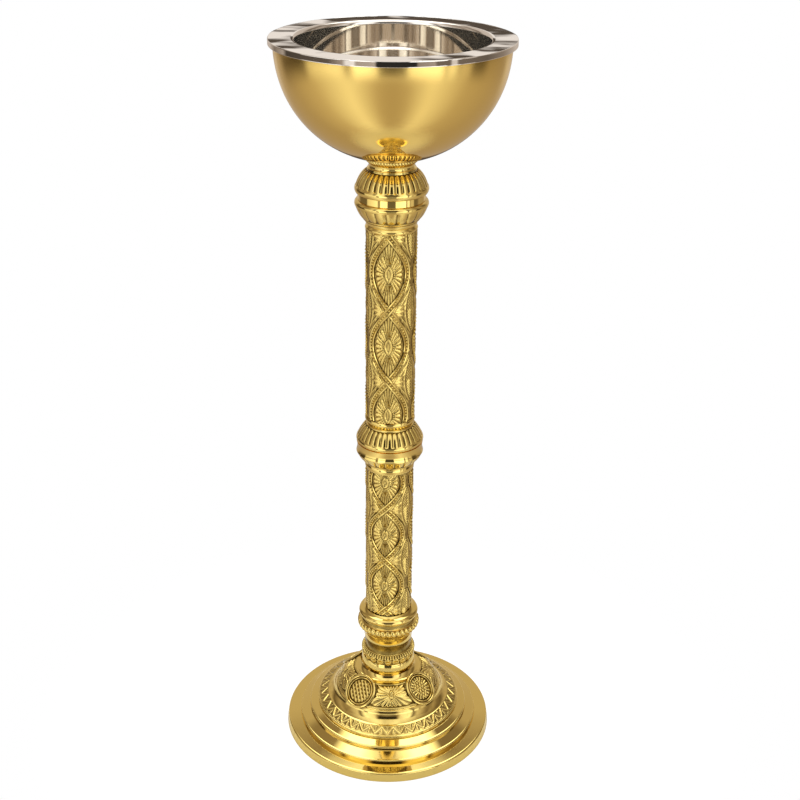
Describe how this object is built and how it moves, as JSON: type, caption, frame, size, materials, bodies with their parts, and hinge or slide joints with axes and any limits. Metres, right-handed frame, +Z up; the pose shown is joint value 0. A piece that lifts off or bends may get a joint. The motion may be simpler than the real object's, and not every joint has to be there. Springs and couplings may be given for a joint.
{
  "type": "holy water stoup",
  "caption": "Free-standing brass water stoup: stepped, embossed base, ornamented column with knops, and a round bowl holding a lift-out plated liner.",
  "frame": {"origin": "on the floor at the centre of the base", "axes": "+Z up along the column, -Y towards the viewer of the picture"},
  "size_m": [0.2992, 0.2992, 1],
  "materials": {
    "polished_brass": "polished and lacquered, mirror-like with soft turning lines",
    "embossed_brass": "polished relief with darker tone left in the hollows",
    "satin_brass": "spun and satin polished, with fine rings round the bowl",
    "plated_liner": "bright nickel-coloured plating",
    "zinc_steel": "zinc-plated steel",
    "grey_iron": "plain grey casting",
    "felt": "pressed wool felt"
  },
  "bodies": {
    "stand": {"felt_ring": "felt", "base_plinth": "polished_brass", "base_ballast": "grey_iron", "base_washer": "zinc_steel", "base_nut": "zinc_steel", "base_dome": "embossed_brass", "base_collar": "polished_brass", "foot_spool": "embossed_brass", "lower_knop_cup": "polished_brass", "lower_knop_gadroon": "embossed_brass", "lower_tube_socket": "polished_brass", "lower_tube": "embossed_brass", "mid_lower_collar": "polished_brass", "mid_knop_cup": "embossed_brass", "mid_knop_ring": "polished_brass", "mid_knop_dome": "embossed_brass", "mid_upper_collar": "polished_brass", "upper_tube": "embossed_brass", "upper_collar": "polished_brass", "upper_knop_cup": "embossed_brass", "upper_knop_band": "polished_brass", "upper_knop_dome": "embossed_brass", "bowl_neck": "polished_brass", "bowl_shell": "satin_brass", "bowl_washer": "zinc_steel", "bowl_nut": "zinc_steel", "tie_rod": "zinc_steel"},
    "liner": {"liner": "plated_liner"}
  },
  "joints": [
    {"name": "liner_lift", "type": "slide", "parent": "stand", "child": "liner", "axis": [0, 0, 1], "range_m": [0, 0.12]}
  ]
}
